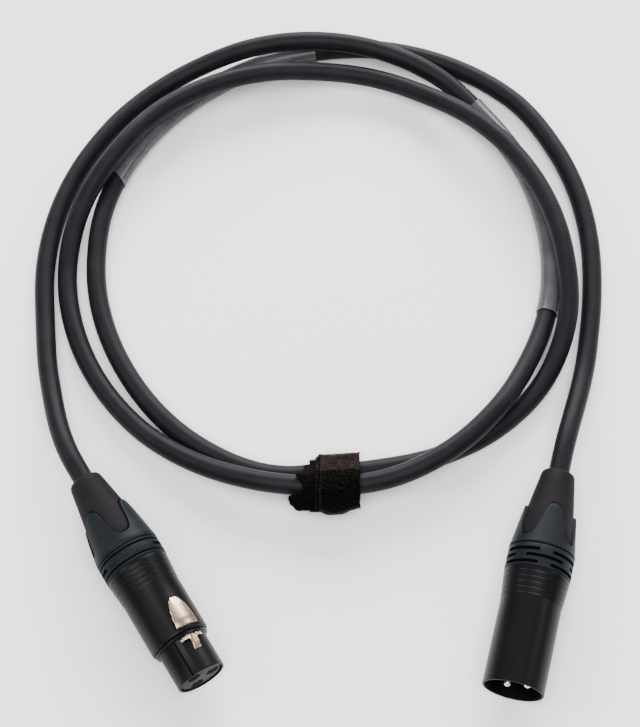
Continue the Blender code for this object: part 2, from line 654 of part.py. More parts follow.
def make_plug_connector(finishes):
    parent = connector_frame("plug_frame", PLUG_MOUTH, PLUG_HEADING)
    make_plug_shell(parent, finishes["shell"])
    make_plug_insert(parent, finishes["insert"])
    names = ("plug_pin_1", "plug_pin_2", "plug_pin_3")
    tip = [(PIN_TIP + PIN_R * (1 - math.cos(t)), PIN_R * math.sin(t))
           for t in (math.radians(a) for a in (0, 30, 60, 90))]
    profile = [(PLUG_RING + CUPS_END - 2.6, 0.0)] + [(PIN_TIP, 0.0)] + tip[1:]
    profile += [(PLUG_RING + INSERT_REAR + 0.1, PIN_R)]
    make_contacts(names, parent, PLUG_RING, PIN_ROLL, profile, finishes["pin"])
    make_chuck("plug_chuck", parent, PLUG_RING, PIN_ROLL, finishes["chuck"])
    slots = [(x, middle, 34) for x in (0.8, 4.95) for middle in (45, 135, 225, 315)]
    slots += [(2.95, middle, 34) for middle in (0, 90, 180, 270)]
    make_bushing("plug_bushing", parent, PLUG_RING, PLUG_BOOT_ROLL, PLUG_LIP,
                 ((7.0, 0.25, 0.25),), slots, 1.0, finishes["hard"])
    make_gland("plug_gland", parent, PLUG_RING, PLUG_BOOT_ROLL, finishes["soft"])
    wires = ("plug_wire_hot", "plug_wire_cold", "plug_wire_screen")
    make_wires(wires, parent, PLUG_RING, PIN_ROLL, finishes["wires"])


# ---- cable, sleeves and strap -----------------------------------------------------------------
def make_sleeve(name, first, last, finish):
    """Clear shrunk-on tube that follows the cable."""
    points = [chord_point(angle) for angle in coil_angles(first, last)]
    frames = tube_frames([chord_point(first + 1)] + points + [chord_point(last - 1)])[1:-1]
    rings = [tube_ring(point, frame, SLEEVE_IN_R, 6) for point, frame in zip(points, frames)]
    rings += [tube_ring(point, frame, SLEEVE_OUT_R, 6)
              for point, frame in reversed(list(zip(points, frames)))]
    flat = [corner for ring in rings for corner in ring]
    return add_object(name, mesh_from(name, flat, ring_faces(len(rings), 6)), finish)


def strap_outline(x, radius, sag):
    """Closed outline round both strands at one X, as (y, z), pressed flat on the floor."""
    offset = x - COIL_CENTRE[0]
    front = route_point(-90 + math.degrees(math.asin(offset / 82)))
    back = route_point(-450 + math.degrees(math.asin(offset / 76)))
    loop = []
    for k in range(STRAP_SIDES):
        turn = math.tau * k / STRAP_SIDES
        out = Vector((0.0, math.cos(turn), math.sin(turn)))
        core = front if out.dot(front - back) > 0 else back
        slack = sag * max(0.0, out.dot(Vector((0.0, -0.85, -0.53)))) ** 2
        spot = core + (radius + slack) * out
        loop.append((spot.y, max(spot.z, 0.15)))
    return loop


def make_strap(finish):
    """Hook-and-loop strap wound three times, each wrap a little to the side of the last."""
    rings = []

    def add_ring(x, radius, sag, tail=0.0, slant=0.0):
        for k, (y, z) in enumerate(strap_outline(x, radius, sag)):
            turn = math.tau * k / STRAP_SIDES
            lobe = max(0.0, math.cos(turn - math.radians(215))) ** 4
            drawn_in = max(0.0, math.cos(turn - math.radians(20))) ** 8
            rings.append((x - tail * lobe + slant * drawn_in, y, z))

    middle_x = (STRAP_RIGHT_X + STRAP_LEFT_X[-1]) / 2
    outside = STRAP_BORE + STRAP_LAYERS * STRAP_LAYER
    add_ring(middle_x, STRAP_BORE, 0.0)
    add_ring(STRAP_RIGHT_X, STRAP_BORE, 0.0)
    add_ring(STRAP_RIGHT_X, outside, 1.8)
    add_ring(middle_x + 2.0, outside, 2.0)
    for wrap, left in enumerate(STRAP_LEFT_X):
        tail = STRAP_TAIL if wrap == STRAP_LAYERS - 1 else 0.8 * wrap
        slant = STRAP_SLANT * wrap
        radius = outside - wrap * STRAP_LAYER
        sag = 2.0 - 0.6 * wrap
        add_ring(left, radius, sag, tail, slant)
        if wrap < STRAP_LAYERS - 1:
            add_ring(left, radius - STRAP_LAYER, sag - 0.6, tail, slant)
    add_ring(STRAP_LEFT_X[-1], STRAP_BORE, 0.0, STRAP_TAIL, slant)
    faces = ring_faces(len(rings) // STRAP_SIDES, STRAP_SIDES)
    mesh = mesh_from("cable_strap", rings, [tuple(reversed(face)) for face in faces])
    return add_object("cable_strap", mesh, finish)


def main():
    clear_scene()
    finishes = {
        "shell": material("black_chromed_metal", (0.018, 0.018, 0.020), 0.32, 0.6),
        "insert": material("grey_insulator", (0.05, 0.052, 0.056), 0.5),
        "contact": material("silver_contact", (0.72, 0.71, 0.68), 0.25, 1.0),
        "pin": material("silver_pin", (0.80, 0.78, 0.74), 0.22, 1.0),
        "nickel": material("satin_nickel", (0.74, 0.70, 0.64), 0.3, 1.0),
        "spring": material("spring_steel", (0.5, 0.5, 0.5), 0.35, 1.0),
        "chuck": material("white_clamp_plastic", (0.75, 0.75, 0.72), 0.5),
        "hard": material("slate_boot_plastic", (0.038, 0.058, 0.068), 0.5),
        "soft": material("brown_black_boot_rubber", (0.022, 0.017, 0.018), 0.75),
        "wires": (material("red_core", (0.6, 0.03, 0.03), 0.5),
                  material("white_core", (0.8, 0.8, 0.78), 0.5),
                  material("copper_screen", (0.72, 0.42, 0.28), 0.4, 1.0)),
    }
    jacket = material("charcoal_jacket", (0.022, 0.022, 0.025), 0.6)
    clear_sleeve = material("clear_shrink_sleeve", (0.55, 0.55, 0.57), 0.2, 0.0, 0.35)
    pile = material("dark_brown_pile", (0.028, 0.016, 0.013), 0.95)

    make_socket_connector(finishes)
    make_plug_connector(finishes)
    route = cable_route()
    tube_object("cable", route, CABLE_R, jacket)
    for name, (first, last) in SLEEVE_SPANS.items():
        make_sleeve(name, first, last, clear_sleeve)
    make_strap(pile)

    length = sum((b - a).length for a, b in zip(route, route[1:]))
    print(f"cable: {len(route)} points, {length:.0f} mm long, "
          f"least gap to itself {least_self_gap(route):.2f} mm")


main()
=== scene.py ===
"""The looks of the microphone cable coil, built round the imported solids.

Lengths are in millimetres and angles in degrees, as in the part's source; MM turns them into
metres. A connector's frame has X from its mouth to the cable and Z up before the roll.
"""

import math
import random

import bpy
from mathutils import Matrix, Vector, noise


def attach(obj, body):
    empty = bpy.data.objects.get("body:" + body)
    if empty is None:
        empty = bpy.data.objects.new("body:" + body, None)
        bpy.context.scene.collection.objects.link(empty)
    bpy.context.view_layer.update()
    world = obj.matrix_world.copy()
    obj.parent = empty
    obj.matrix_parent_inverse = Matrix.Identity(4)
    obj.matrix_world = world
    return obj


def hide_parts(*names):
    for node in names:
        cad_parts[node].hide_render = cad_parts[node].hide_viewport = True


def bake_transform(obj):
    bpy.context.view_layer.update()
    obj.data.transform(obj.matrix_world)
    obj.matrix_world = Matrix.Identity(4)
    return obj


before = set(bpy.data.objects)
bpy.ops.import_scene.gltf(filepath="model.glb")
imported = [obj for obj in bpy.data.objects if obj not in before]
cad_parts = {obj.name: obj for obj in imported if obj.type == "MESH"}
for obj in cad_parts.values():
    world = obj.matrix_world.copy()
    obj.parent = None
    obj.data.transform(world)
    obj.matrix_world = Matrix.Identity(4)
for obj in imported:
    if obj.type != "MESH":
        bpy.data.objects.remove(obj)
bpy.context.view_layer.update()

MM = 0.001
GAP = 0.3                        # clearance between two pieces
BODY = "cable_assembly"

# ---- the cable's route, as in the part's source --------------------------------------------
CABLE_R = 3.25
COIL_CENTRE = (-0.2, 29.4)
ROUTE = (
    # angle round the coil's centre, distance from it, height of the cable's centreline
    (213, 99.8, 5.9), (195, 92.9, 3.6), (180, 91.3, 3.3), (150, 90.2, 3.3), (135, 90.2, 3.3),
    (120, 89.0, 5.8), (105, 86.2, 11.3), (90, 85.3, 12.1), (75, 85.5, 10.0), (60, 85.3, 6.2),
    (45, 82.2, 4.0), (15, 78.9, 4.0), (-15, 77.9, 4.1), (-30, 78.0, 6.6), (-45, 80.0, 10.3),
    (-60, 81.9, 10.6), (-75, 82.8, 9.6), (-90, 82.2, 9.5), (-105, 82.7, 9.5), (-120, 82.9, 6.6),
    (-135, 83.2, 3.9), (-165, 83.8, 3.3), (-180, 83.8, 3.8), (-195, 82.3, 7.6),
    (-210, 79.1, 11.8), (-225, 78.2, 12.1), (-240, 76.6, 11.8), (-255, 75.6, 10.4),
    (-270, 75.2, 8.0), (-285, 75.7, 6.8), (-300, 75.5, 7.8), (-315, 75.9, 10.9),
    (-330, 77.4, 12.0), (-345, 79.4, 12.1), (-360, 81.7, 11.4), (-375, 84.7, 8.4),
    (-390, 85.3, 4.2), (-405, 83.2, 3.3), (-420, 79.9, 3.5), (-435, 77.1, 4.6),
    (-450, 76.4, 5.0), (-457, 77.2, 3.9), (-465, 77.7, 4.0), (-480, 76.4, 3.5),
    (-510, 74.0, 3.3), (-540, 74.4, 3.5), (-555, 75.6, 4.0), (-600, 79.8, 4.0),
    (-630, 86.6, 4.0), (-645, 90.7, 3.3), (-675, 95.2, 3.3), (-690, 94.2, 3.3),
    (-720, 91.8, 3.3), (-735, 92.7, 3.5), (-750, 96.8, 5.1),
)
ROUTE_STEP = 1.5
COIL_START, COIL_END = 207.0, -744.0      # angles between which the cable keeps to ROUTE
LEAD = 6                         # straight run out of a boot, before the bend to the coil
BEND_STEPS = 9
BOOT_STATIONS = (-12, -8, -4, 0, 3)       # past the boot's end, along the connector's axis
FILM_INNER_R, FILM_OUTER_R, FILM_FLARE = 3.42, 3.60, 0.03
SLEEVES = {
    # first and last angle, and how far the first end is cut askew
    "label_sleeve_outer_strand": (49, -14, 0.4),
    "label_sleeve_inner_strand": (-566, -629, -1.7),
}

# ---- connectors, as in the part's source -----------------------------------------------------
AXIS_Z = 10.2
SHELL_R = 9.3
SHELL_BORE_R = 8.05
BARREL_BORE_R = 6.95             # front barrel of the socket's shell
NECK_HALF = 2.0                  # half the width of the channel for the latch's neck
RECESS_HALF = 24                 # half the angle of the recess in the plug's cup
RING_R = 10.2
BOOT_LENGTH = 34.6
RING_LENGTH = 8.0
SLOT_DEPTH = 0.85
TONGUE_MIDDLE, TONGUE_REACH, TONGUE_STEEPNESS = 15.55, 5.75, 1.7
PIN_R, PIN_START, PIN_END = 1.2, 1.8, 25.8
CONTACT_CIRCLE_R = 3.9
CONTACT_ANGLES = (60, -60, 180)
SOCKET_MOUTH, SOCKET_HEADING, SOCKET_RING = (-34.3, -143.9), 121.4, 39.3
PLUG_MOUTH, PLUG_HEADING, PLUG_RING = (57.6, -147.6), 75.7, 36.7
PLUG_LIP = 0.5
SOCKET_BOOT_ROLL, PLUG_BOOT_ROLL = -34.0, 5.0
LATCH_ROLL, PIN_ROLL = 25.0, 150.0
KEYWAY_ROLL = -43                # counted from the latch


# ---- meshes ----------------------------------------------------------------------------------
def connector_matrix(mouth, heading, roll=0.0):
    place = Vector((COIL_CENTRE[0] + mouth[0], COIL_CENTRE[1] + mouth[1], AXIS_Z)) * MM
    return (Matrix.Translation(place) @ Matrix.Rotation(math.radians(heading), 4, "Z")
            @ Matrix.Rotation(math.radians(roll), 4, "X"))


def socket_place(roll=0.0):
    return connector_matrix(SOCKET_MOUTH, SOCKET_HEADING, roll)


def plug_place(roll=0.0):
    return connector_matrix(PLUG_MOUTH, PLUG_HEADING, roll)


def mesh_from(name, points, faces, sharp=35):
    mesh = bpy.data.meshes.new(name)
    mesh.from_pydata([tuple(c * MM for c in point) for point in points], [], faces)
    mesh.validate()
    mesh.shade_smooth()
    mesh.set_sharp_from_angle(angle=math.radians(sharp))
    return mesh


def ring_faces(rings, sides, closed=True):
    faces = []
    for row in range(rings if closed else rings - 1):
        here = row * sides
        there = ((row + 1) % rings) * sides
        for k in range(sides):
            step = (k + 1) % sides
            faces.append((here + k, here + step, there + step, there + k))
    return faces


def turned_point(x, radius, angle):
    return (x, -radius * math.sin(angle), radius * math.cos(angle))


def turned(name, profile, sides=144, sharp=35):
    points = []
    rows = []
    for x, radius in profile:
        if radius == 0:
            rows.append([len(points)] * sides)
            points.append((x, 0.0, 0.0))
        else:
            rows.append(list(range(len(points), len(points) + sides)))
            points += [turned_point(x, radius, math.tau * k / sides) for k in range(sides)]
    faces = []
    for here, there in zip(rows, rows[1:] + rows[:1]):
        if here[0] == here[1] and there[0] == there[1]:
            continue
        for k in range(sides):
            step = (k + 1) % sides
            faces.append(tuple(dict.fromkeys((here[k], here[step], there[step], there[k]))))
    return mesh_from(name, points, faces, sharp)


def columns(name, profiles, sharp=35):
    sides = len(profiles)
    rows = len(profiles[0])
    points = [turned_point(*profiles[k][row], math.tau * k / sides)
              for row in range(rows) for k in range(sides)]
    return mesh_from(name, points, ring_faces(rows, sides), sharp)


def prism(name, outline, low, high):
    count = len(outline)
    points = [(x, y, low) for x, y in outline] + [(x, y, high) for x, y in outline]
    faces = [tuple(reversed(range(count))), tuple(range(count, 2 * count))]
    faces += ring_faces(2, count, closed=False)
    return mesh_from(name, points, faces)


def block(name, low, high):
    outline = [(low[0], low[1]), (high[0], low[1]), (high[0], high[1]), (low[0], high[1])]
    return prism(name, outline, low[2], high[2])


def bar_faces(last):
    """Faces of a bar that has four corners at each of its sections, numbered 0 to last."""
    faces = [(3, 2, 1, 0), tuple(4 * last + k for k in range(4))]
    for k in range(last):
        for side in range(4):
            step = (side + 1) % 4
            faces.append((4 * k + side, 4 * k + step, 4 * k + 4 + step, 4 * k + 4 + side))
    return faces


def plain_channel(x_low, x_high, r_low, r_high, half, steps=12):
    """Cutter for a channel round part of a ring, with square ends."""
    points = []
    for k in range(steps + 1):
        angle = math.radians(-half + 2 * half * k / steps)
        for x, radius in ((x_low, r_low), (x_high, r_low), (x_high, r_high), (x_low, r_high)):
            points.append(turned_point(x, radius, angle))
    return mesh_from("channel", points, bar_faces(steps))


def arc_slot(centre, width, r_low, r_high, middle, half, steps=20):
    """Cutter for a slot round part of a ring, with rounded ends."""
    end = math.degrees(width / 2 / r_high)
    stops = [(-half + end * (1 - math.cos(t)), math.sin(t))
             for t in (math.radians(a) for a in (8, 30, 60, 90))]
    stops += [((-half + end) * (1 - 2 * k / steps), 1.0) for k in range(1, steps)]
    stops += [(-angle, share) for angle, share in reversed(stops[:4])]
    points = []
    for angle, share in stops:
        side = width / 2 * share
        turn = math.radians(middle + angle)
        for x, radius in ((-side, r_low), (side, r_low), (side, r_high), (-side, r_high)):
            points.append(turned_point(centre + x, radius, turn))
    return mesh_from("slot", points, bar_faces(len(stops) - 1))


def joined(name, meshes):
    points, faces = [], []
    for mesh in meshes:
        start = len(points)
        points += [vertex.co / MM for vertex in mesh.vertices]
        faces += [tuple(start + v for v in face.vertices) for face in mesh.polygons]
    return mesh_from(name, points, faces)


def carved(mesh, tools, operation="DIFFERENCE", cut_finish=None, bevel=0.0, sharp=35):
    """Mesh after a cut with the joined tools. Faces that the cut makes can take cut_finish."""
    target = bpy.data.objects.new("carve_target", mesh)
    tool = bpy.data.objects.new("carve_tool", joined("carve_tool", tools))
    if cut_finish:
        tool.data.materials.append(cut_finish)
    for thing in (target, tool):
        bpy.context.scene.collection.objects.link(thing)
    step = target.modifiers.new("cut", "BOOLEAN")
    step.operation = operation
    step.solver = "EXACT"
    step.material_mode = "TRANSFER"
    step.object = tool
    if bevel:
        round_edges = target.modifiers.new("round", "BEVEL")
        round_edges.width = bevel * MM
        round_edges.segments = 3
        round_edges.limit_method = "ANGLE"
        round_edges.angle_limit = math.radians(40)
        round_edges.use_clamp_overlap = True
        round_edges.harden_normals = True
    ready = target.evaluated_get(bpy.context.evaluated_depsgraph_get())
    result = bpy.data.meshes.new_from_object(ready)
    for thing in (target, tool):
        bpy.data.objects.remove(thing)
    result.shade_smooth()
    result.set_sharp_from_angle(angle=math.radians(sharp))
    return result


def add_piece(name, mesh, finish, place=None, body=BODY):
    made = bpy.data.objects.new(name, mesh)
    bpy.context.scene.collection.objects.link(made)
    if place is not None:
        mesh.transform(place)
    if finish:
        mesh.materials.append(finish)
    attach(made, body)
    return made


# ---- finishes --------------------------------------------------------------------------------
class Finish:
    """A Principled material with its node tree at hand."""

    def __init__(self, name, colour, roughness, metallic=0.0, **sockets):
        self.material = bpy.data.materials.new(name)
        self.material.use_nodes = True
        self.tree = self.material.node_tree
        self.shader = self.tree.nodes["Principled BSDF"]
        self.set("Base Color", (*colour, 1.0))
        self.set("Roughness", roughness)
        self.set("Metallic", metallic)
        for socket, value in sockets.items():
            self.set(socket.replace("_", " "), value)

    def set(self, socket, value):
        self.shader.inputs[socket].default_value = value

    def node(self, kind, **values):
        made = self.tree.nodes.new(kind)
        for key, value in values.items():
            if key in made.inputs:
                made.inputs[key].default_value = value
            else:
                setattr(made, key, value)
        return made

    def link(self, source, target):
        self.tree.links.new(source, target)

    def noise(self, scale, detail=3.0, stretch=(1, 1, 1)):
        """Noise over the part, whose scale is in features for each metre."""
        place = self.node("ShaderNodeTexCoord")
        spread = self.node("ShaderNodeMapping")
        spread.inputs["Scale"].default_value = stretch
        self.link(place.outputs["Object"], spread.inputs["Vector"])
        made = self.node("ShaderNodeTexNoise", Scale=scale, Detail=detail)
        self.link(spread.outputs["Vector"], made.inputs["Vector"])
        return made

    def ramp(self, source, low, high, start=0.35, stop=0.65):
        made = self.node("ShaderNodeValToRGB")
        made.color_ramp.elements[0].position = start
        made.color_ramp.elements[1].position = stop
        made.color_ramp.elements[0].color = (*low, 1.0)
        made.color_ramp.elements[1].color = (*high, 1.0)
        self.link(source, made.inputs["Fac"])
        return made.outputs["Color"]

    def colour_from(self, source, low, high, start=0.35, stop=0.65):
        self.link(self.ramp(source, low, high, start, stop), self.shader.inputs["Base Color"])

    def roughness_from(self, source, low, high):
        made = self.node("ShaderNodeMapRange")
        made.inputs["To Min"].default_value = low
        made.inputs["To Max"].default_value = high
        self.link(source, made.inputs["Value"])
        self.link(made.outputs["Result"], self.shader.inputs["Roughness"])

    def bump_from(self, source, height):
        """Height is how far the surface stands out, in millimetres."""
        made = self.node("ShaderNodeBump", Strength=1.0, Distance=height * MM)
        self.link(source, made.inputs["Height"])
        self.link(made.outputs["Normal"], self.shader.inputs["Normal"])


def moulded(name, colour, lift, roughness, grain=2600, height=0.012, **sockets):
    """Moulded plastic or rubber: fine grain and a slight cloudiness."""
    made = Finish(name, colour, roughness, **sockets)
    cloud = made.noise(160)
    made.colour_from(cloud.outputs["Fac"], colour, [min(1, c * lift) for c in colour])
    grainy = made.noise(grain, 4.0)
    made.roughness_from(grainy.outputs["Fac"], roughness - 0.08, roughness + 0.1)
    made.bump_from(grainy.outputs["Fac"], height)
    return made.material


def metal(name, colour, roughness, stretch=(1, 1, 1)):
    """Bare metal with fine streaks."""
    made = Finish(name, colour, roughness, metallic=1.0)
    streaks = made.noise(1800, 3.0, stretch)
    made.roughness_from(streaks.outputs["Fac"], roughness - 0.07, roughness + 0.1)
    made.bump_from(streaks.outputs["Fac"], 0.004)
    return made.material


def clear_film(name):
    """Shrunk clear film, a thin smoky skin that is denser where it is seen edge on."""
    made = Finish(name, (0.060, 0.057, 0.064), 0.24, IOR=1.5, Specular_IOR_Level=0.35)
    edge = made.node("ShaderNodeLayerWeight", Blend=0.35)
    depth = made.node("ShaderNodeMapRange")
    depth.inputs["From Max"].default_value = 0.75
    depth.inputs["To Min"].default_value = 0.58
    depth.inputs["To Max"].default_value = 0.96
    made.link(edge.outputs["Facing"], depth.inputs["Value"])
    made.link(depth.outputs["Result"], made.shader.inputs["Alpha"])
    haze = made.noise(130, 2.0)
    made.colour_from(haze.outputs["Fac"], (0.062, 0.059, 0.067), (0.090, 0.086, 0.096))
    return made.material


def grained(name, low, high):
    """Moulded plastic with a coarse spark-eroded grain that shows as fine mottling."""
    made = Finish(name, low, 0.6, Specular_IOR_Level=0.10)
    grain = made.noise(2200, 2.0)
    made.colour_from(grain.outputs["Fac"], low, high, 0.40, 0.68)
    made.bump_from(grain.outputs["Fac"], 0.06)
    return made.material


def woven_pile(name, low, high, edge):
    """Looped pile. Seen edge on, its colour is mixed towards a lighter brown: a painted sheen
    where the loops catch the light.
    """
    made = Finish(name, low, 0.95, Specular_IOR_Level=0.05)
    tufts = made.noise(1300, 5.0)
    loops = made.ramp(tufts.outputs["Fac"], low, high, 0.48, 0.74)
    grazing = made.node("ShaderNodeLayerWeight", Blend=0.4)
    share = made.node("ShaderNodeMapRange")
    share.inputs["From Min"].default_value = 0.35
    share.inputs["From Max"].default_value = 0.95
    made.link(grazing.outputs["Facing"], share.inputs["Value"])
    sheen = made.node("ShaderNodeMix", data_type="RGBA")
    made.link(share.outputs["Result"], sheen.inputs["Factor"])
    made.link(loops, sheen.inputs["A"])
    # The lighter edge colour, mixed in at grazing angles as a painted sheen.
    sheen_brown = made.ramp(tufts.outputs["Fac"], [c * 0.35 for c in edge], edge, 0.40, 0.68)
    made.link(sheen_brown, sheen.inputs["B"])
    made.link(sheen.outputs["Result"], made.shader.inputs["Base Color"])
    made.bump_from(tufts.outputs["Fac"], 0.25)
    return made.material


FINISHES = {
    "jacket": moulded("jacket_rubber", (0.0044, 0.0042, 0.0060), 1.5, 0.48, 2200, 0.010,
                      Specular_IOR_Level=0.11),
    "shell": moulded("shell_black", (0.0016, 0.0016, 0.0022), 1.4, 0.36, 3800, 0.004,
                     Specular_IOR_Level=0.13),
    # painted shade: the inside of the plug's cup, darker and duller than the shell's own black
    "cup": moulded("cup_painted_shade", (0.0007, 0.0007, 0.0007), 1.3, 0.6, 3000, 0.004,
                   Specular_IOR_Level=0.04),
    "hard": moulded("boot_slate", (0.0038, 0.0060, 0.0080), 1.25, 0.48, 3200, 0.008,
                    Specular_IOR_Level=0.11),
    "grained": grained("boot_slate_grained", (0.0018, 0.0029, 0.0040), (0.0085, 0.0125, 0.0160)),
    "soft": moulded("boot_brown_black", (0.0066, 0.0057, 0.0068), 1.4, 0.62, 2400, 0.02,
                    Specular_IOR_Level=0.07),
    # painted shadow: the dark floors and walls of the slots, grooves and keyway
    "slot": moulded("slot_shadow", (0.0008, 0.0008, 0.0010), 1.2, 0.7, Specular_IOR_Level=0.05),
    "insert": moulded("insulator_grey", (0.012, 0.0125, 0.0135), 1.6, 0.50, 3000, 0.01,
                      Specular_IOR_Level=0.09),
    "pin_face": moulded("pin_insulator", (0.0030, 0.0030, 0.0033), 1.3, 0.5, 3000, 0.01,
                        Specular_IOR_Level=0.1),
    "clamp": moulded("clamp_white", (0.68, 0.68, 0.64), 1.1, 0.5),
    "red": moulded("core_red", (0.50, 0.02, 0.02), 1.2, 0.45),
    "white": moulded("core_white", (0.72, 0.72, 0.70), 1.1, 0.45),
    "silver": metal("contact_silver", (0.86, 0.83, 0.78), 0.24),
    "nickel": metal("latch_nickel", (0.50, 0.38, 0.275), 0.28, (1, 1, 4)),
    "spring": metal("spring_steel", (0.55, 0.55, 0.56), 0.32),
    "copper": metal("screen_copper", (0.78, 0.40, 0.25), 0.35, (6, 6, 1)),
    "film": clear_film("sleeve_clear"),
    # painted highlight: light grey on the sleeves' cut end faces, for the bright line along the
    # film's ends
    "film_end_highlight": moulded("sleeve_end_painted_highlight", (0.45, 0.44, 0.46), 1.1, 0.3),
    # the third colour of each strap finish is a painted sheen, mixed in where the pile is seen
    # edge on
    "pile": woven_pile("strap_pile_brown", (0.0005, 0.0003, 0.0004), (0.0082, 0.0058, 0.0055),
                       (0.120, 0.076, 0.064)),
    # painted highlight: lighter grey for the left edge strip of the two outer wraps
    "strap_edge_highlight": woven_pile("strap_edge_painted_highlight", (0.0020, 0.0019, 0.0024),
                             (0.0170, 0.0165, 0.0210), (0.040, 0.034, 0.036)),
    "strap_side": woven_pile("strap_weave_black", (0.0008, 0.0007, 0.0007),
                             (0.0034, 0.0024, 0.0022), (0.022, 0.013, 0.011)),
}


# ---- the cable -------------------------------------------------------------------------------
def smooth_value(column, angle):
    last = len(ROUTE) - 1
    k = 0
    while k < last - 1 and angle < ROUTE[k + 1][0]:
        k += 1

    def slope(i):
        a, b = max(i - 1, 0), min(i + 1, last)
        return (ROUTE[b][column] - ROUTE[a][column]) / (ROUTE[b][0] - ROUTE[a][0])

    width = ROUTE[k + 1][0] - ROUTE[k][0]
    t = (angle - ROUTE[k][0]) / width
    start, end = ROUTE[k][column], ROUTE[k + 1][column]
    rise_in, rise_out = slope(k) * width, slope(k + 1) * width
    return ((2 * t ** 3 - 3 * t ** 2 + 1) * start + (t ** 3 - 2 * t ** 2 + t) * rise_in
            + (3 * t ** 2 - 2 * t ** 3) * end + (t ** 3 - t ** 2) * rise_out)


def route_point(angle):
    radius = smooth_value(1, angle)
    height = max(CABLE_R, smooth_value(2, angle))
    turn = math.radians(angle)
    return Vector((COIL_CENTRE[0] + radius * math.cos(turn),
                   COIL_CENTRE[1] + radius * math.sin(turn), height))


def on_axis(mouth, heading, distance):
    turn = math.radians(heading)
    return Vector((COIL_CENTRE[0] + mouth[0] + distance * math.cos(turn),
                   COIL_CENTRE[1] + mouth[1] + distance * math.sin(turn), AXIS_Z))


def eased(a, a_way, b, b_way, count):
    """Points of one smooth bend from a to b, which leaves and arrives along the two ways."""
    reach = (b - a).length / 3
    c, d = a + a_way * reach, b - b_way * reach
    points = []
    for k in range(1, count):
        t = k / count
        points.append((1 - t) ** 3 * a + 3 * t * (1 - t) ** 2 * c
                      + 3 * t ** 2 * (1 - t) * d + t ** 3 * b)
    return points


def cable_points():
    """Centreline from inside the socket's boot, round the coil and into the plug's boot."""
    socket = (SOCKET_MOUTH, SOCKET_HEADING)
    plug = (PLUG_MOUTH, PLUG_HEADING)
    socket_exit, plug_exit = SOCKET_RING + BOOT_LENGTH, PLUG_RING + BOOT_LENGTH
    start = on_axis(*socket, socket_exit + LEAD)
    end = on_axis(*plug, plug_exit + LEAD)
    points = [on_axis(*socket, socket_exit + x) for x in BOOT_STATIONS] + [start]
    way_in = (on_axis(*socket, 1) - on_axis(*socket, 0)).normalized()
    way_out = (on_axis(*plug, 0) - on_axis(*plug, 1)).normalized()
    near, far = route_point(COIL_START), route_point(COIL_END)
    near_way = (route_point(COIL_START - 1) - near).normalized()
    far_way = (far - route_point(COIL_END + 1)).normalized()
    points += eased(start, way_in, near, near_way, BEND_STEPS)
    steps = int((COIL_START - COIL_END) / ROUTE_STEP)
    points += [route_point(COIL_START - ROUTE_STEP * k) for k in range(steps + 1)]
    points += eased(far, far_way, end, way_out, BEND_STEPS) + [end]
    points += [on_axis(*plug, plug_exit + x) for x in reversed(BOOT_STATIONS)]
    return points


def make_cable():
    curve = bpy.data.curves.new("cable_jacket", "CURVE")
    curve.dimensions = "3D"
    curve.twist_mode = "Z_UP"
    curve.bevel_depth = CABLE_R * MM
    curve.bevel_resolution = 8
    curve.use_fill_caps = True
    points = cable_points()
    line = curve.splines.new("POLY")
    line.points.add(len(points) - 1)
    for spot, point in zip(line.points, points):
        spot.co = (*(point * MM), 1.0)
    line.use_smooth = True
    made = bpy.data.objects.new("cable_jacket", curve)
    bpy.context.scene.collection.objects.link(made)
    curve.materials.append(FINISHES["jacket"])
    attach(made, BODY)
    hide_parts("cable")
    length = sum((b - a).length for a, b in zip(points, points[1:]))
    print(f"cable is {length:.0f} mm long on its centreline")
    return made, length


def tube_rings(points, radius, sides):
    rings = []
    for k, point in enumerate(points):
        ahead = points[min(k + 1, len(points) - 1)] - points[max(k - 1, 0)]
        side = ahead.cross(Vector((0, 0, 1))).normalized()
        up = side.cross(ahead).normalized()
        rings.append([point + radius * (side * math.cos(t) + up * math.sin(t))
                      for t in (math.tau * j / sides for j in range(sides))])
    return rings


def make_sleeve(node, first, last, slant):
    """Clear film shrunk on the cable, cut a little askew and flared at its ends."""
    steps = int((first - last) / ROUTE_STEP)
    sides, fade = 36, 6
    points = [route_point(first + (last - first) * k / steps) for k in range(steps + 1)]
    inner = tube_rings(points, FILM_INNER_R, sides)
    outer = tube_rings(points, FILM_OUTER_R, sides)
    for rings in (inner, outer):
        for end in (0, -1):
            for spot in rings[end]:
                spot += (spot - points[end]) * FILM_FLARE
        for k in range(fade):
            way = (points[k + 1] - points[k]).normalized()
            for j, spot in enumerate(rings[k]):
                spot += way * (slant * (1 - k / fade) * math.cos(math.tau * j / sides))
    rings = inner + outer[::-1]
    flat = [spot for ring in rings for spot in ring]
    mesh = mesh_from(node + "_film", flat, ring_faces(len(rings), sides))
    mesh.materials.append(FINISHES["film"])
    mesh.materials.append(FINISHES["film_end_highlight"])
    # The end faces take the light grey finish, a painted highlight along the cut ends.
    for start in (len(mesh.polygons) - sides, len(inner) * sides - sides):
        for face in mesh.polygons[start:start + sides]:
            face.material_index = 1
    made = add_piece(node + "_film", mesh, None)
    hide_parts(node)


# ---- connectors ------------------------------------------------------------------------------
def grip_steps(start, end, r_low, r_high, count=5):
    points = []
    pitch = (end - start) / count
    rise = (r_high - r_low) / count
    for k in range(count):
        x = start + k * pitch
        low, high = r_low + k * rise, r_low + (k + 1) * rise
        points += [(x, low), (x + 0.12, low + 0.03), (x + 0.34, high - 0.03), (x + 0.5, high)]
    return points + [(end - 0.05, r_high)]


def cone_radius(x):
    """Outside of the hard moulding behind its ring. X is counted from the ring."""
    return 9.8 - 0.146 * (x - 10.0)


def gland_radius(x):
    """Outside of the soft boot. X is counted from the ring."""
    return 7.15 - 0.16 * (x - 22.0)


def tongue_edge(angle):
    """How far the hard moulding reaches over the soft boot, in four rounded tongues."""
    wave = math.tanh(TONGUE_STEEPNESS * math.cos(4 * angle)) / math.tanh(TONGUE_STEEPNESS)
    return TONGUE_MIDDLE + TONGUE_REACH * wave


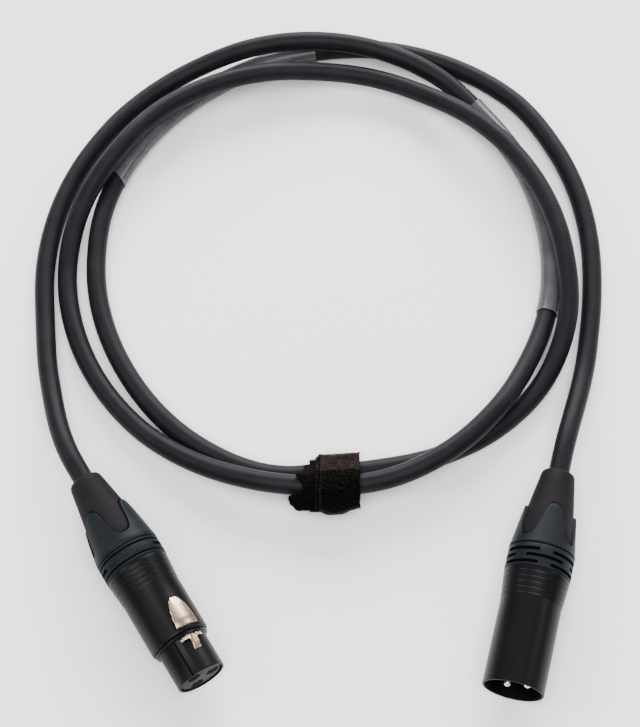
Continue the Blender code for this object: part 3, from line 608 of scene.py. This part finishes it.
def make_bushing(node, place, ring, lip, grooves, slots, width):
    """Hard moulding. A groove is (x, half width, depth), a slot (x, middle and half angle)."""
    sides = 192
    profiles = []
    for k in range(sides):
        edge = tongue_edge(math.tau * k / sides)
        outer = [(-lip, RING_R - 0.45), (0.1 - lip, RING_R - 0.2), (0.3 - lip, RING_R - 0.03),
                 (0.5 - lip, RING_R)]
        for x, half, depth in grooves:
            outer += [(x - half - 0.1, RING_R), (x - half, RING_R - 0.05),
                      (x - 0.6 * half, RING_R - 0.8 * depth), (x, RING_R - depth),
                      (x + 0.6 * half, RING_R - 0.8 * depth), (x + half, RING_R - 0.05),
                      (x + half + 0.1, RING_R)]
        outer += [(7.75, RING_R - 0.02), (8.05, RING_R - 0.1)]
        start = RING_LENGTH + 0.4
        for share in (0.0, 0.12, 0.25, 0.4, 0.55, 0.7, 0.85, 0.94):
            x = start + (edge - start) * share
            outer.append((x, cone_radius(x)))
        outer += [(edge - 0.18, cone_radius(edge) - 0.01), (edge - 0.05, cone_radius(edge) - 0.08),
                  (edge, cone_radius(edge) - 0.25), (edge, cone_radius(edge) - 1.5)]
        inner = [(start, cone_radius(start) - 1.5), (6.3, SHELL_BORE_R), (6.3, 9.1), (-lip, 9.1)]
        profiles.append([(ring + x, radius) for x, radius in outer + inner])
    tools = [arc_slot(ring + x, width, RING_R - SLOT_DEPTH, RING_R + 1.0, middle, half)
             for x, middle, half in slots]
    mesh = columns(node, profiles, 40)
    for finish in ("hard", "grained", "slot"):
        mesh.materials.append(FINISHES[finish])
    # Faces in the grooves take the slot finish, painted shadow in the grooves.
    for face in mesh.polygons:
        middle = face.center / MM
        near = [abs(middle.x - ring - x) < half for x, half, depth in grooves]
        if any(near) and math.hypot(middle.y, middle.z) > RING_R - 0.5:
            face.material_index = 2
    if len(grooves) > 1:
        low, high = (ring + grooves[0][0] + 0.4, ring + grooves[1][0] - 0.4)
        for face in mesh.polygons:
            if low < face.center.x / MM < high and face.normal.x ** 2 < 0.1:
                face.material_index = 1
    # The slots' cut faces take the slot finish, painted shadow.
    mesh = carved(mesh, tools, cut_finish=FINISHES["slot"], sharp=40)
    made = add_piece(node + "_moulding", mesh, None, place)
    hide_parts(node)


def make_gland(node, place, ring):
    sides = 192
    profiles = []
    for k in range(sides):
        edge = tongue_edge(math.tau * k / sides) + 0.48
        under = cone_radius(edge) - 1.5 - GAP
        outer = [(7.0, 7.55), (8.4, cone_radius(8.4) - 1.8), (edge, under),
                 (edge, gland_radius(edge) - 0.3), (edge + 0.06, gland_radius(edge) - 0.1),
                 (edge + 0.25, gland_radius(edge + 0.25))]
        for share in (0.15, 0.3, 0.45, 0.6, 0.75, 0.9):
            x = edge + (32.8 - edge) * share
            outer.append((x, gland_radius(x)))
        outer += [(32.8, gland_radius(32.8)), (33.4, 5.3), (33.85, 5.16), (34.15, 4.95),
                  (34.4, 4.65), (34.55, 4.25), (34.6, 3.85)]
        inner = [(34.45, 3.5), (33.9, 3.38), (7.0, 3.38)]
        profiles.append([(ring + x, radius) for x, radius in outer + inner])
    made = add_piece(node + "_moulding", columns(node, profiles, 40), FINISHES["soft"], place)
    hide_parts(node)


def bullet_outline(margin=0.0, steps=24):
    """The latch plate from above: half an ellipse, cut square at the front."""
    side, front = 3.7 + margin, 14.1 - margin
    length = 24.0 + margin - front
    right = [(front + length * math.sin(t), -side * math.cos(t))
             for t in (math.radians(90 * k / steps) for k in range(steps))]
    return right + [(24.0 + margin, 0.0)] + [(x, -y) for x, y in reversed(right)]


def nose_outline(margin=0.0):
    right = [(6.8 - margin, -1.2 - margin), (10.3 - margin, -1.2 - margin),
             (10.3 - margin, -3.4 - margin), (11.35 + margin, -3.4 - margin),
             (11.35 + margin, -1.7 - margin), (14.1, -1.7 - margin)]
    return right + [(x, -y) for x, y in reversed(right)]


def make_socket_shell():
    profile = [(0.0, 7.3), (0.08, 7.5), (0.3, 7.65), (11.45, 7.65), (11.6, 7.72), (11.7, 7.95),
               (11.7, 8.4), (11.8, 8.55), (12.35, 8.55), (12.45, 8.45), (12.5, 8.2),
               (12.68, 8.2), (12.7, 8.85), (12.85, 9.1), (13.1, 9.25), (13.5, 9.3)]
    profile += grip_steps(31.0, SOCKET_RING, SHELL_R, 10.0)
    profile += [(39.3, 9.9), (39.3, 8.8), (45.3, 8.8), (45.3, SHELL_BORE_R),
                (14.6, SHELL_BORE_R), (14.6, BARREL_BORE_R), (0.25, BARREL_BORE_R), (0.0, 7.15)]
    mesh = turned("socket_shell", profile, 160, 30)
    mesh.materials.append(FINISHES["shell"])
    nose = nose_outline(GAP)
    neck_half = math.degrees(math.asin(NECK_HALF / BARREL_BORE_R))
    for tool in (prism("plate_window", bullet_outline(GAP), 5.2, 12.0),
                 prism("nose_window", nose[:4] + nose[-4:], 4.0, 12.0),
                 plain_channel(10.85, 14.3, 6.4, 8.2, neck_half)):
        mesh = carved(mesh, [tool], sharp=30)
    keyway = block("keyway", (-1.0, -0.25, 7.3), (11.6, 0.25, 9.0))
    keyway.transform(Matrix.Rotation(math.radians(KEYWAY_ROLL), 4, "X"))
    # The keyway's cut faces take the slot finish, painted shadow.
    mesh = carved(mesh, [keyway], cut_finish=FINISHES["slot"], sharp=30)
    made = add_piece("socket_shell_body", mesh, None, socket_place(LATCH_ROLL))
    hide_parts("socket_shell")


def make_latch():
    profile = [(6.8, 7.05), (6.8, 7.5), (9.8, 8.3), (11.35, 8.3), (11.35, 7.85), (14.1, 7.85),
               (14.1, 9.3), (14.4, 9.55), (17.0, 9.6), (21.0, 9.58), (23.5, 9.5), (24.0, 9.2),
               (24.0, 8.6), (15.1, 8.6), (15.1, 7.05)]
    outline = nose_outline()
    whole = outline[:6] + bullet_outline() + outline[-6:]
    mesh = carved(turned("latch", profile, 160), [prism("latch_outline", whole, 3.0, 12.0)],
                  "INTERSECT", bevel=0.24)
    mesh.materials.clear()
    mesh.materials.append(FINISHES["nickel"])
    made = add_piece("latch_plate", mesh, None, socket_place(LATCH_ROLL), "latch")
    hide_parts("latch")


SPRING_LINE = ((23.3, 6.195), (19.55, 6.195), (18.5, 6.62), (17.1, 7.7), (16.45, 8.095),
               (15.8, 8.095))
SPRING_HALF_THICK, SPRING_HALF_WIDTH = 0.12, 1.4


def make_latch_spring():
    """Bent leaf, whose foot stays on the insert."""
    line = [Vector(spot) for spot in SPRING_LINE]
    for _ in range(3):
        cut = [a.lerp(b, share) for a, b in zip(line, line[1:]) for share in (0.25, 0.75)]
        line = [line[0]] + cut + [line[-1]]
    top, under = [], []
    for k, spot in enumerate(line):
        way = (line[min(k + 1, len(line) - 1)] - line[max(k - 1, 0)]).normalized()
        side = Vector((way.y, -way.x)) * SPRING_HALF_THICK
        top.append(tuple(spot + side))
        under.append(tuple(spot - side))
    mesh = prism("latch_spring", top + under[::-1], -SPRING_HALF_WIDTH, SPRING_HALF_WIDTH)
    mesh.transform(Matrix.Rotation(math.radians(90), 4, "X"))
    place = socket_place(LATCH_ROLL)
    mesh.transform(place)
    mesh.materials.append(FINISHES["spring"])
    made = bpy.data.objects.new("latch_spring_leaf", mesh)
    bpy.context.scene.collection.objects.link(made)
    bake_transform(made)
    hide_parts("latch_spring")


def contact_spots(roll):
    for angle in CONTACT_ANGLES:
        turn = math.radians(angle + roll)
        yield (0.0, -CONTACT_CIRCLE_R * math.sin(turn), CONTACT_CIRCLE_R * math.cos(turn))


def make_socket_insert():
    profile = [(0.4, 0.0), (0.4, 6.2), (0.5, 6.45), (0.8, 6.65), (14.2, 6.65), (14.9, 6.65),
               (14.9, 7.75), (28.0, 7.75), (28.0, 0.0)]
    tools = []
    for spot in contact_spots(0.0):
        drill = turned("bore", [(-1.0, 0), (-1.0, 2.15), (0.65, 2.15), (1.0, 1.9), (30.0, 1.9),
                                (30.0, 0)], 48)
        drill.transform(Matrix.Translation(Vector(spot) * MM))
        tools.append(drill)
    mesh = turned("socket_insert", profile, 96)
    mesh.materials.append(FINISHES["insert"])
    mesh = carved(mesh, tools)
    mesh = carved(mesh, [block("under_nose", (6.1, -9.0, 4.6), (15.5, 9.0, 12.0))])
    mesh = carved(mesh, [block("under_plate", (15.2, -9.0, 5.75), (29.0, 9.0, 12.0))])
    made = add_piece("socket_insert_face", mesh, None, socket_place(LATCH_ROLL))
    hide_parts("socket_insert")


def make_plug_shell():
    profile = [(0.0, 9.05), (0.06, 9.2), (0.2, 9.3), (27.2, 9.3)]
    profile += grip_steps(27.5, PLUG_RING - PLUG_LIP, SHELL_R, 10.05)
    profile += [(36.2, 9.9), (36.2, 8.8), (42.7, 8.8), (42.7, SHELL_BORE_R),
                (15.6, SHELL_BORE_R), (15.6, 7.3), (14.6, 7.3), (14.6, 8.15), (1.2, 8.15),
                (0.25, 8.65), (0.0, 8.8)]
    mesh = turned("plug_shell", profile, 160, 30)
    mesh.materials.append(FINISHES["shell"])
    mesh = carved(mesh, [plain_channel(6.6, 9.2, 7.15, 8.75, RECESS_HALF)], sharp=30)
    # The cup's inside wall takes the cup finish, painted shade that darkens the recess.
    mesh.materials.append(FINISHES["cup"])
    for face in mesh.polygons:
        middle = face.center / MM
        if 0.3 < middle.x < 14.7 and math.hypot(middle.y, middle.z) < 8.8:
            face.material_index = 1
    made = add_piece("plug_shell_body", mesh, None, plug_place(PIN_ROLL))
    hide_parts("plug_shell")


def make_pins():
    for number, spot in enumerate(contact_spots(PIN_ROLL), 1):
        tip = [(PIN_START + PIN_R * (1 - math.cos(t)), PIN_R * math.sin(t))
               for t in (math.radians(a) for a in range(0, 91, 10))]
        mesh = turned("plug_pin", tip + [(PIN_END, PIN_R), (PIN_END, 0.0)], 48)
        mesh.transform(Matrix.Translation(Vector(spot) * MM))
        made = add_piece(f"plug_pin_{number}_turned", mesh, FINISHES["silver"], plug_place())
        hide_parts(f"plug_pin_{number}")


def make_connectors():
    side_slots = [(3.1, 83 - SOCKET_BOOT_ROLL, 34), (3.1, 274 - SOCKET_BOOT_ROLL, 31)]
    grooves = ((1.1, 0.35, 0.35), (4.9, 0.35, 0.35), (6.0, 0.2, 0.2))
    make_bushing("socket_bushing", socket_place(SOCKET_BOOT_ROLL), SOCKET_RING, 0.0, grooves,
                 side_slots, 1.05)
    make_gland("socket_gland", socket_place(SOCKET_BOOT_ROLL), SOCKET_RING)
    make_socket_shell()
    make_latch()
    make_latch_spring()
    make_socket_insert()
    slots = [(x, middle, 34) for x in (0.8, 4.95) for middle in (45, 135, 225, 315)]
    slots += [(2.95, middle, 34) for middle in (0, 90, 180, 270)]
    make_bushing("plug_bushing", plug_place(PLUG_BOOT_ROLL), PLUG_RING, PLUG_LIP,
                 ((7.0, 0.25, 0.25),), slots, 1.0)
    make_gland("plug_gland", plug_place(PLUG_BOOT_ROLL), PLUG_RING)
    make_plug_shell()
    make_pins()
    plain = {"socket_contact_1": "silver", "socket_contact_2": "silver",
             "socket_contact_3": "silver", "socket_chuck": "clamp",
             "plug_chuck": "clamp", "plug_insert": "pin_face", "socket_wire_hot": "red",
             "socket_wire_cold": "white", "socket_wire_screen": "copper",
             "plug_wire_hot": "red", "plug_wire_cold": "white", "plug_wire_screen": "copper"}
    for node, finish in plain.items():
        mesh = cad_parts[node].data
        mesh.materials.clear()
        mesh.materials.append(FINISHES[finish])


# ---- strap -----------------------------------------------------------------------------------
STRAP_WRAPS = (
    # right edge, radius, share of the tail's hang, then the left edge's X at turns in degrees
    (12.2, 4.60, 1.0, ((0, -0.4), (26, -0.6), (36, -1.0), (38.5, -2.8), (48, -2.9), (50.5, -4.6),
                       (57, -4.8), (59.5, -7.0), (66, -7.0), (88, -5.9), (112, -4.9),
                       (146, -4.9), (157, -8.3), (170, -9.2), (190, -9.3), (206, -8.6),
                       (218, -7.4), (232, -5.0), (270, -3.0), (360, -0.4))),
    (12.5, 5.05, 0.85, ((0, -0.2), (26, -0.2), (60, -1.6), (110, -2.2), (180, -2.2),
                        (215, -2.8), (270, -1.5), (360, -0.2))),
    (12.5, 5.50, 0.5, ((0, -0.1), (60, -0.8), (180, -1.1), (270, -0.8), (360, -0.1))),
    (12.8, 5.95, 0.0, ((0, 0.4), (180, 0.3), (360, 0.4))),
)
STRAP_THICK = 0.42
STRAP_SAG = ((-9, 0.5), (-5, 0.8), (0, 2.0), (3, 3.1), (7.5, 3.0), (10.5, 1.9), (13, 1.5))
TAIL_HANG = ((-9.6, 0.0), (-8.4, 1.8), (-6.6, 3.3), (-2.5, 2.9), (1.0, 2.0))
TAIL_TURN = ((180, 0.0), (200, 1.0), (232, 1.0), (262, 0.0))
STRAP_ENDS = (-10.0, 13.2)       # X between which the strap follows the strands' own bend
FRONT_STRAND_R, BACK_STRAND_R = 82, 76    # of the two strands, from the coil's centre
BRIDGE = (44.0, 61.0)            # turns between which the strap runs straight, back to front
UNDER_TURN = 232                 # turn at which it passes from the front strand to the back one
SAG_WAY = (0.0, -0.85, -0.53)
SAG_START_R, SAG_SPAN = 4.2, 1.75         # radius without sag, and how much more has all of it
FUZZ_SEED = 4
FUZZ_COUNTS = (2200, 1200, 900, 7000)     # fibres for each wrap


def eased_between(table, value):
    """Value of a table's second column, joined by soft steps."""
    value = min(max(value, table[0][0]), table[-1][0])
    for (a, low), (b, high) in zip(table, table[1:]):
        if value <= b:
            t = (value - a) / (b - a)
            return low + (high - low) * t * t * (3 - 2 * t)
    return table[-1][1]


def strap_point(x, turn, radius, hang):
    """Point on the strap, which hangs a little slack on the near side of the strands."""
    inside = min(max(x, STRAP_ENDS[0]), STRAP_ENDS[1])
    offset = inside - COIL_CENTRE[0]
    front = route_point(-90 + math.degrees(math.asin(offset / FRONT_STRAND_R)))
    back = route_point(-450 + math.degrees(math.asin(offset / BACK_STRAND_R)))
    share = min(1.0, (radius - SAG_START_R) / SAG_SPAN)

    def round_core(degrees, core):
        out = Vector((0.0, math.cos(math.radians(degrees)), math.sin(math.radians(degrees))))
        slack = (share * eased_between(STRAP_SAG, inside)
                 * max(0.0, out.dot(Vector(SAG_WAY))) ** 2)
        slack += hang * eased_between(TAIL_HANG, inside) * eased_between(TAIL_TURN, degrees)
        return core + (radius + slack) * out

    degrees = math.degrees(turn)
    start, stop = BRIDGE
    if start < degrees < stop:
        spot = round_core(start, back).lerp(round_core(stop, front),
                                            (degrees - start) / (stop - start))
    else:
        spot = round_core(degrees, front if stop <= degrees < UNDER_TURN else back)
    return Vector((x, spot.y, max(spot.z, 0.3)))


def make_strap():
    """Wraps of hook-and-loop strap. Each is a closed band with a rough edge."""
    turns, across = 150, 26
    for wrap, (right, radius, hang, left) in enumerate(STRAP_WRAPS):
        outermost = wrap == len(STRAP_WRAPS) - 1
        points = []
        for layer in (0, 1):
            for k in range(turns):
                turn = math.tau * k / turns
                low = eased_between(left, math.degrees(turn))
                for j in range(across + 1):
                    share = j / across
                    ragged = noise.noise(Vector((turn * 14, j, wrap * 9.1)))
                    x = low + (right - low) * share
                    if j in (0, across):
                        x += 0.22 * ragged
                    wave = 0.10 * noise.noise(Vector((x * 0.7, turn * 5, wrap * 3.3)))
                    if outermost:
                        wave += 0.15 * (1 + noise.noise(Vector((x * 1.5, turn * 9, 40.0))))
                    spread = radius + wave - (STRAP_THICK if layer else 0.0)
                    points.append(strap_point(x, turn, spread, hang))
        row = across + 1
        faces = []
        for layer in (0, 1):
            base = layer * turns * row
            for k in range(turns):
                here, there = base + k * row, base + (k + 1) % turns * row
                for j in range(across):
                    face = (here + j, here + j + 1, there + j + 1, there + j)
                    faces.append(face if not layer else face[::-1])
        inner = turns * row
        for k in range(turns):
            here, there = k * row, (k + 1) % turns * row
            faces.append((here, there, there + inner, here + inner))
            here, there = here + across, there + across
            faces.append((here, here + inner, there + inner, there))
        mesh = mesh_from(f"strap_wrap_{wrap}", points, faces, 80)
        mesh.materials.append(FINISHES["pile" if outermost else "strap_side"])
        # The left edge strip of the two outer wraps takes a lighter grey, a painted highlight line
        # along the edge.
        if wrap > 1:
            mesh.materials.append(FINISHES["strap_edge_highlight"])
            for k in range(turns):
                mesh.polygons[k * across].material_index = 1
        made = add_piece(f"strap_wrap_{wrap}", mesh, None)
        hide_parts("cable_strap")


def make_fuzz():
    """Short loose fibres that stand out of the strap's pile."""
    rng = random.Random(FUZZ_SEED)
    points, faces = [], []
    outermost = len(STRAP_WRAPS) - 1
    for wrap, (right, radius, hang, left) in enumerate(STRAP_WRAPS):
        for _ in range(FUZZ_COUNTS[wrap]):
            turn = rng.uniform(0, math.tau)
            low = eased_between(left, math.degrees(turn))
            covered = right
            if wrap < outermost:
                over = STRAP_WRAPS[wrap + 1][3]
                covered = eased_between(over, math.degrees(turn)) + 0.6
            x = rng.uniform(low, max(low, min(right, covered)))
            if rng.random() < 0.16:
                x = low if rng.random() < 0.5 or wrap < outermost else right
            base = strap_point(x, turn, radius - 0.05, hang)
            if base.z < 0.6:
                continue
            out = Vector((0.0, math.cos(turn), math.sin(turn)))
            lean = Vector((rng.uniform(-1, 1), rng.uniform(-0.8, 0.8), rng.uniform(-0.8, 0.8)))
            if x <= low + 0.01:
                lean.x -= 1.2
            if x >= right - 0.01:
                lean.x += 1.2
            way = (out + lean * 0.8).normalized()
            length = rng.uniform(0.25, 0.75)
            side = way.cross(Vector((rng.uniform(-1, 1), rng.uniform(-1, 1), 0.3))).normalized()
            side *= rng.uniform(0.03, 0.06)
            bend = Vector((rng.uniform(-1, 1), rng.uniform(-1, 1), rng.uniform(-0.6, 0.6))) * 0.2
            mid = base + way * length * 0.55
            tip = base + way * length + bend
            start = len(points)
            points += [base - side, base + side, mid + side * 0.8, mid - side * 0.8, tip]
            faces += [(start, start + 1, start + 2, start + 3), (start + 3, start + 2, start + 4)]
    mesh = mesh_from("strap_fuzz", points, faces, 180)
    made = add_piece("strap_fuzz", mesh, FINISHES["pile"])
    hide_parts("cable_strap")


# ---- studio, in metres -----------------------------------------------------------------------
CAMERA_LENS = 87.15
CAMERA_TILT = 64.0               # below the horizon
CAMERA_TARGET = (0.00047, -0.00578, 0.0)
CAMERA_DISTANCE = 0.578
LIGHTS = (
    # name, place, width, power in watts, and the height where it isn't square
    ("top_softbox", (0.0, -0.55, 1.25), 1.1, 28, None),
    ("back_softbox", (0.1, 1.25, 0.7), 1.6, 62, 0.8),
    ("left_softbox", (-1.1, -0.05, 0.85), 0.5, 7, None),
    ("right_softbox", (1.1, 0.3, 0.72), 0.4, 4, None),
)


def make_camera():
    camera = bpy.data.cameras.new("camera")
    made = bpy.data.objects.new("camera", camera)
    bpy.context.scene.collection.objects.link(made)
    camera.lens = CAMERA_LENS
    camera.sensor_width = 36.0
    camera.sensor_fit = "AUTO"
    camera.clip_start = 0.01
    tilt = math.radians(CAMERA_TILT)
    look = Vector((0.0, math.cos(tilt), -math.sin(tilt)))
    made.location = Vector(CAMERA_TARGET) - look * CAMERA_DISTANCE
    made.rotation_euler = (math.radians(90.0) - tilt, 0.0, 0.0)
    bpy.context.scene.camera = made


def area_light(name, place, size, power, size_y):
    """Area light that faces the middle of the part."""
    light = bpy.data.lights.new(name, "AREA")
    light.shape = "RECTANGLE" if size_y else "SQUARE"
    light.size = size
    if size_y:
        light.size_y = size_y
    light.energy = power
    made = bpy.data.objects.new(name, light)
    bpy.context.scene.collection.objects.link(made)
    made.location = place
    way = Vector((0, 0, 0)) - Vector(place)
    made.rotation_euler = way.to_track_quat("-Z", "Y").to_euler()


def make_studio():
    floor = bpy.data.meshes.new("floor")
    floor.from_pydata([(-3, -3, 0), (3, -3, 0), (3, 3, 0), (-3, 3, 0)], [], [(0, 1, 2, 3)])
    made = bpy.data.objects.new("floor", floor)
    bpy.context.scene.collection.objects.link(made)
    floor.materials.append(Finish("floor_pale", (0.95, 0.95, 0.95), 0.8).material)
    world = bpy.data.worlds.new("studio")
    bpy.context.scene.world = world
    world.use_nodes = True
    world.node_tree.nodes["Background"].inputs["Color"].default_value = (1.0, 1.0, 1.0, 1.0)
    world.node_tree.nodes["Background"].inputs["Strength"].default_value = 0.3
    for light in LIGHTS:
        area_light(*light)


make_camera()
cable, cable_length = make_cable()
for sleeve, cut in SLEEVES.items():
    make_sleeve(sleeve, *cut)
make_connectors()
make_strap()
make_fuzz()
make_studio()
